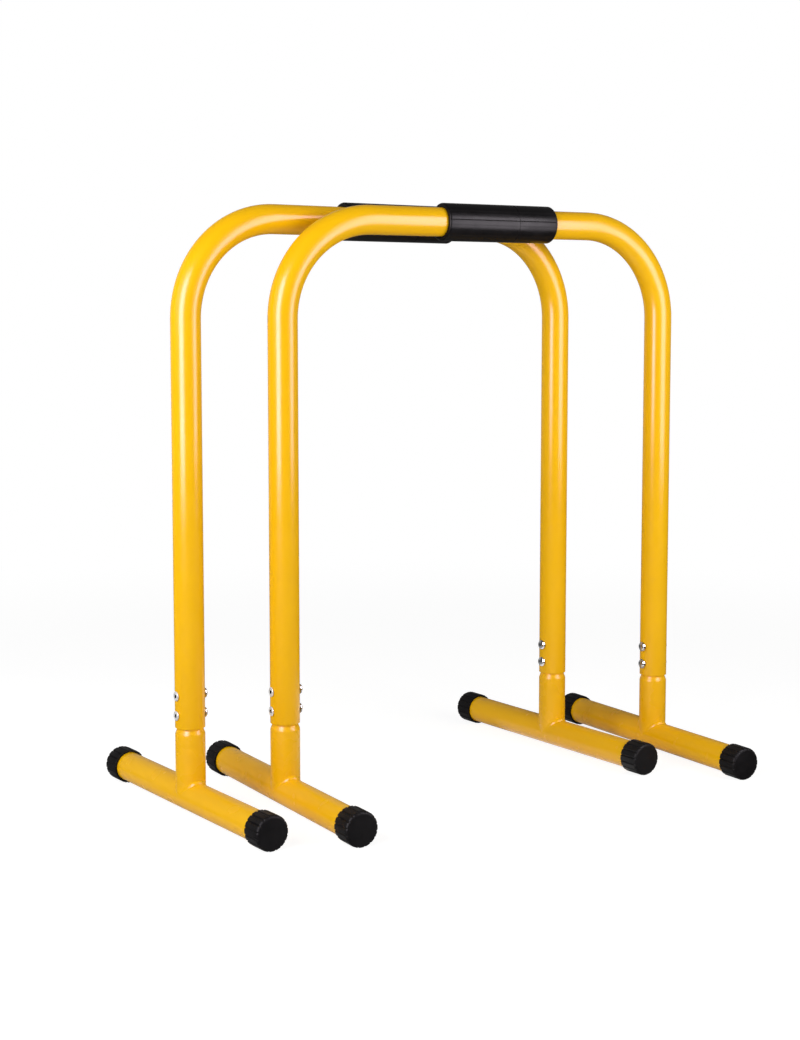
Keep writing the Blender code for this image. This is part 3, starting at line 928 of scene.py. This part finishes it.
# %% Build the tree of a row of fasteners
def fastener_row_tree():
    """Copies of one fastener up a leg, each turned about the X axis by its own angle."""
    sizes = {"Int": ("Count", "Seed"), "Float": ("Pitch", "Lowest")}
    tree, given = new_tree("fastener row", Object=("Fastener",), **sizes)
    start = vector(tree, Z=given["Lowest"])
    line = {"Count": given["Count"], "Start Location": start, "Offset": vector(tree, Z=given["Pitch"])}
    points = add_node(tree, "GeometryNodeMeshLine", line)[0]
    shape = add_node(tree, "GeometryNodeObjectInfo", {"Object": given["Fastener"]})["Geometry"]
    turn = add_node(tree, "FunctionNodeRandomValue", {"Seed": given["Seed"]}, data_type="FLOAT")
    dial = next(output for output in turn if output.type == "VALUE" and output.enabled)
    euler = vector(tree, X=times(tree, dial, math.tau))
    rotation = add_node(tree, "FunctionNodeEulerToRotation", {0: euler})[0]
    setting = {"Points": points, "Instance": shape, "Rotation": rotation}
    row = add_node(tree, "GeometryNodeInstanceOnPoints", setting)[0]
    return end_tree(tree, given, row)


FASTENERS = fastener_row_tree()
BOLT_SEED = 10
NUT_SEED = 20
ALONG_X = Matrix.Rotation(math.pi / 2, 4, "Y")


def fastener_row(name, mesh, finish, seed):
    """A leg's row of one fastener, lying along X."""
    lying = mesh.copy()
    lying.transform(ALONG_X)
    model = add_object(name, lying)
    values = {"Fastener": model, "Count": len(BOLT_HEIGHTS), "Pitch": BOLT_PITCH, "Lowest": LOWER_BOLT}
    row = grow(name, FASTENERS, {**values, "Seed": seed, "Finish": finish})
    bpy.data.objects.remove(model)
    return row


print("fastener tree:", len(FASTENERS.nodes), "nodes")

# %% [markdown]
# ## Put the pieces in place
#
# The object stays at the origin. A piece and its parts are named after the bar or foot that owns
# them.

# %% Helper that sets one piece
def set_piece(owner, kind, mesh, where, slot, *parts):
    name = f"{owner}_{kind}"
    parts = [f"{owner}_{part}" for part in parts]
    placed = mesh.copy()
    placed.name = name
    placed.transform(where)
    piece = add_object(name, placed)
    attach(piece, "root")
    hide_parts(*parts)


def shift(x, y, z):
    """The matrix of a plain move."""
    return Matrix.Translation((x, y, z))


HALF_TURN = Matrix.Rotation(math.pi, 4, "Z")
FACE_OUT = {"left": HALF_TURN, "right": Matrix.Identity(4)}
LIE_BACK = Matrix.Rotation(-math.pi / 2, 4, "X")
LIE_FORWARD = Matrix.Rotation(math.pi / 2, 4, "X")
print("placing helpers ready")

# %% [markdown]
# A foot is set in the order in which it is made: tube, neck, weld, caps, and the bolts last. The
# rows of bolts were drawn with their heads towards +X, which is outwards on a right leg, so a left
# leg gets them turned half round.

# %% Set both bars
def set_foot(bar, side, number):
    """One foot under a leg, with its caps, bolts and nuts."""
    foot = f"{bar}_{side}"
    stance = BARS[bar]
    leg_x = LEG_X if side == "right" else -LEG_X
    axis = stance @ shift(leg_x, 0, FOOT_AXIS)
    set_piece(foot, "cross_tube", foot_tube, axis @ LIE_BACK, "foot_paint", "foot_tube")
    set_piece(foot, "coped_neck", neck, axis, "neck_paint", "neck")
    set_piece(foot, "weld_bead", welds[number], axis, "weld_paint", "weld")
    front = axis @ shift(0, -CAP_MOUTH, 0) @ LIE_FORWARD
    back = axis @ shift(0, CAP_MOUTH, 0) @ HALF_TURN @ LIE_FORWARD
    set_piece(foot, "front_ribbed_cap", cap, front, "cap_rubber", "front_cap")
    set_piece(foot, "back_ribbed_cap", cap, back, "cap_rubber", "back_cap")
    leg = stance @ shift(leg_x, 0, 0) @ FACE_OUT[side]
    bolts = fastener_row("bolts", bolt, bolt_finish, BOLT_SEED + number)
    set_piece(foot, "button_bolts", bolts, leg, "bolt_steel", "lower_bolt", "upper_bolt")
    nuts = fastener_row("nuts", nut, nut_finish, NUT_SEED + number)
    set_piece(foot, "cap_nuts", nuts, leg, "nut_steel", "lower_nut", "upper_nut")


for bar, stance in BARS.items():
    set_piece(bar, "bent_tube", bent_tube, stance, "frame_paint", "frame")
    grip_place = stance @ shift(GRIP_X, 0, BAR_HEIGHT) @ ALONG_X
    set_piece(bar, "sleeve", sleeve, grip_place, "grip_sleeve", "grip")
    for side in ("left", "right"):
        set_foot(bar, side, 2 * list(BARS).index(bar) + (side == "right"))
print("pieces set for", list(BARS))

# %% [markdown]
# ## Floor and surroundings
#
# The photograph's background is plain white. White must not come from more light on the object, or
# its colours wash out. So the floor and the world show white only to rays that come from the camera
# or from a glossy surface, and otherwise light the object at a plain level. The floor keeps a share
# of its ordinary matt surface, so a soft shadow still shows under the feet.

# %% Make the white surroundings
FLOOR_SIZE = 40.0
FLOOR_DROP = 0.0002
FLOOR_BOUNCE = 0.88
FLOOR_SEEN = 2.2
SHADOW_SHARE = 0.12
SHADOW_FADE = (0.7, 2.2)
WORLD_LIGHT = 0.10


def seen_directly(tree):
    """1 for camera, glossy and transmission rays, else 0."""
    path = add_node(tree, "ShaderNodeLightPath")
    either = calc(tree, "MAXIMUM", path["Is Camera Ray"], path["Is Glossy Ray"])
    return calc(tree, "MAXIMUM", either, path["Is Transmission Ray"])


def empty_finish(name):
    """A material with no nodes yet, and its tree."""
    finish = bpy.data.materials.new(name)
    finish.use_nodes = True
    finish.node_tree.nodes.clear()
    return finish, finish.node_tree


def floor_finish():
    """White where it is seen, with a soft shadow near the object, and a plain matt bounce."""
    finish, tree = empty_finish("white_floor")
    seen = seen_directly(tree)
    where = add_node(tree, "ShaderNodeTexCoord")["Object"]
    off = add_node(tree, "ShaderNodeVectorMath", {0: where}, operation="LENGTH")["Value"]
    near, far = SHADOW_FADE
    fade = {"Value": off, "From Min": near, "From Max": far, "To Min": 1 - SHADOW_SHARE}
    glow_share = add_node(tree, "ShaderNodeMapRange", fade, interpolation_type="SMOOTHSTEP")["Result"]
    lit = blend(tree, seen, (FLOOR_BOUNCE,) * 3, (FLOOR_SEEN,) * 3)
    matt = add_node(tree, "ShaderNodeBsdfDiffuse", {"Color": lit})[0]
    glow = add_node(tree, "ShaderNodeEmission", {"Strength": 1.0})[0]
    share = times(tree, seen, glow_share)
    mixed = add_node(tree, "ShaderNodeMixShader", {0: share, 1: matt, 2: glow})[0]
    add_node(tree, "ShaderNodeOutputMaterial", {"Surface": mixed})
    return finish


def make_floor():
    """A plain floor just below the feet."""
    bm = bmesh.new()
    bmesh.ops.create_grid(bm, x_segments=1, y_segments=1, size=FLOOR_SIZE / 2)
    mesh = bpy.data.meshes.new("floor")
    bm.to_mesh(mesh)
    bm.free()
    mesh.transform(shift(0, 0, -FLOOR_DROP))
    mesh.materials.append(floor_finish())
    floor = add_object("floor", mesh)


def make_world():
    """White where it is seen, and a weak plain light from all sides."""
    world = bpy.data.worlds.new("white_surroundings")
    scene.world = world
    world.use_nodes = True
    tree = world.node_tree
    tree.nodes.clear()
    levels = {"Value": seen_directly(tree), "To Min": WORLD_LIGHT, "To Max": 1.0}
    strength = add_node(tree, "ShaderNodeMapRange", levels)["Result"]
    light = add_node(tree, "ShaderNodeBackground", {"Color": (1, 1, 1, 1), "Strength": strength})[0]
    add_node(tree, "ShaderNodeOutputWorld", {"Surface": light})


make_floor()
make_world()
print("floor", FLOOR_SIZE, "m, world light", WORLD_LIGHT)

# %% [markdown]
# ## Dark screens
#
# A photographer closes a glossy object in with dark screens: where the gloss mirrors a screen
# instead of the white room, the colour under it stays deep, edges are drawn crisply, and polished
# metal gets the dark parts that make it look like metal. One rule makes every screen here, a strip
# between two rings round the object. Four stand or hang about the room. Four lie just above the
# floor: two near the feet, which keep the undersides of the tubes deep in colour, and two farther
# out. Only glossy rays see the screens, so they shade nothing.

# %% Stand the screens
SCREEN_DISTANCE = 3.0
SCREEN_HEIGHT = 2.6
SCREEN_STEPS = 48
CEILING_PINHOLE = 0.01
FLOOR_PINHOLE = 0.001
NEAR_REACH = 0.60
NEAR_LIFT = 0.001
FAR_LIFT = 0.002


def make_screen(name, azimuths, inner, outer, tone):
    """A strip from an inner to an outer (radius, height) ring, between two azimuths in degrees."""
    points = []
    for step in range(SCREEN_STEPS + 1):
        share = step / SCREEN_STEPS
        angle = math.radians(azimuths[0] + (azimuths[1] - azimuths[0]) * share)
        for radius, height in (inner, outer):
            points.append((radius * math.cos(angle), radius * math.sin(angle), height))
    faces = [(2 * i, 2 * i + 1, 2 * i + 3, 2 * i + 2) for i in range(SCREEN_STEPS)]
    mesh = bpy.data.meshes.new(name)
    mesh.from_pydata(points, [], faces)
    finish, tree = empty_finish(name)
    glow = add_node(tree, "ShaderNodeEmission", {"Strength": tone})[0]
    add_node(tree, "ShaderNodeOutputMaterial", {"Surface": glow})
    mesh.materials.append(finish)
    screen = add_object(name, mesh)
    screen.visible_camera = False
    screen.visible_diffuse = False
    screen.visible_shadow = False


foot_of_wall = (SCREEN_DISTANCE, 0.0)
top_of_wall = (SCREEN_DISTANCE, SCREEN_HEIGHT)
make_screen("front_wall", (135, 375), foot_of_wall, top_of_wall, tone=0.12)
make_screen("right_wall", (15, 60), foot_of_wall, top_of_wall, tone=0.20)
make_screen("back_wall", (60, 135), foot_of_wall, top_of_wall, tone=0.36)
make_screen("ceiling", (0, 360), (CEILING_PINHOLE, SCREEN_HEIGHT), top_of_wall, tone=0.12)
near_edge = (NEAR_REACH, NEAR_LIFT)
make_screen("left_floor", (60, 270), (FLOOR_PINHOLE, NEAR_LIFT), near_edge, tone=0.36)
make_screen("right_floor", (-90, 60), (0.27, NEAR_LIFT), near_edge, tone=0.36)
far_edge = (SCREEN_DISTANCE, FAR_LIFT)
make_screen("front_floor", (160, 395), (0.42, FAR_LIFT), far_edge, tone=0.05)
make_screen("back_floor", (35, 160), (0.50, FAR_LIFT), far_edge, tone=0.11)
print("screens stand")

# %% [markdown]
# ## Lamps
#
# On the real tubes two pale bands run up each leg, and one runs along the top bar. They are the
# mirror images of two tall soft panels, one to the left and one close on the right. Their lower
# edges end the bands half-way down the legs. Only the gloss sees the panels. Behind each, a broad
# soft lamp that the gloss does not see lights the object.

# %% Set the lamps
PANEL_TINT = (1.0, 0.92, 1.0)


def set_lamp(name, place, target, size, power, panel=False):
    """A flat lamp that only matt surfaces see, or a panel that only the gloss sees."""
    lamp = bpy.data.lights.new(name, "AREA")
    lamp.shape = "RECTANGLE"
    lamp.size, lamp.size_y = size
    lamp.energy = power
    if panel:
        lamp.color = PANEL_TINT
    fitting = add_object(name, lamp)
    fitting.location = place
    aim = Vector(target) - Vector(place)
    fitting.rotation_euler = aim.to_track_quat("-Z", "Y").to_euler()
    fitting.visible_camera = False
    fitting.visible_diffuse = not panel
    fitting.visible_glossy = panel


broad = (0, 0, 0.90)
set_lamp("left_softbox", (-1.60, -0.30, 1.10), broad, size=(1.9, 0.9), power=30.5)
set_lamp("right_softbox", (0.61, -1.48, 0.97), broad, size=(1.0, 0.8), power=19.3)
left_place = (-1.26, -0.55, 0.785)
set_lamp("left_panel", left_place, (0, 0, 0.785), size=(0.60, 1.13), power=36.0, panel=True)
right_place = (0.48, -0.80, 0.77)
set_lamp("right_panel", right_place, (0.10, 0, 0.77), size=(0.52, 1.00), power=16.0, panel=True)

# %% [markdown]
# ## Camera
#
# The camera's place was found by fitting the edges of the tubes, so that the model lies on the
# photograph line by line. It stands low, a little under the height of the top bar, and looks
# slightly down. The view transform is Standard, so that a colour renders as it is written.

# %% Set the camera
CAMERA_PLACE = (-1.30406, -1.94591, 0.63348)
CAMERA_YAW = 0.99931
CAMERA_DOWN = 0.0958
FOCAL_PIXELS = 1742.35
AXIS_ROW = 480.0
PHOTO_HEIGHT = 1040
SENSOR = 36.0

camera_data = bpy.data.cameras.new("camera")
camera_data.sensor_width = SENSOR
camera_data.lens = FOCAL_PIXELS * SENSOR / PHOTO_HEIGHT
camera_data.shift_y = (AXIS_ROW - PHOTO_HEIGHT / 2) / PHOTO_HEIGHT
camera = add_object("camera", camera_data)
camera.location = CAMERA_PLACE
camera.rotation_euler = (math.pi / 2 - CAMERA_DOWN, 0.0, CAMERA_YAW - math.pi / 2)
scene.camera = camera
scene.view_settings.view_transform = "Standard"
print("camera lens", round(camera_data.lens, 2), "mm")
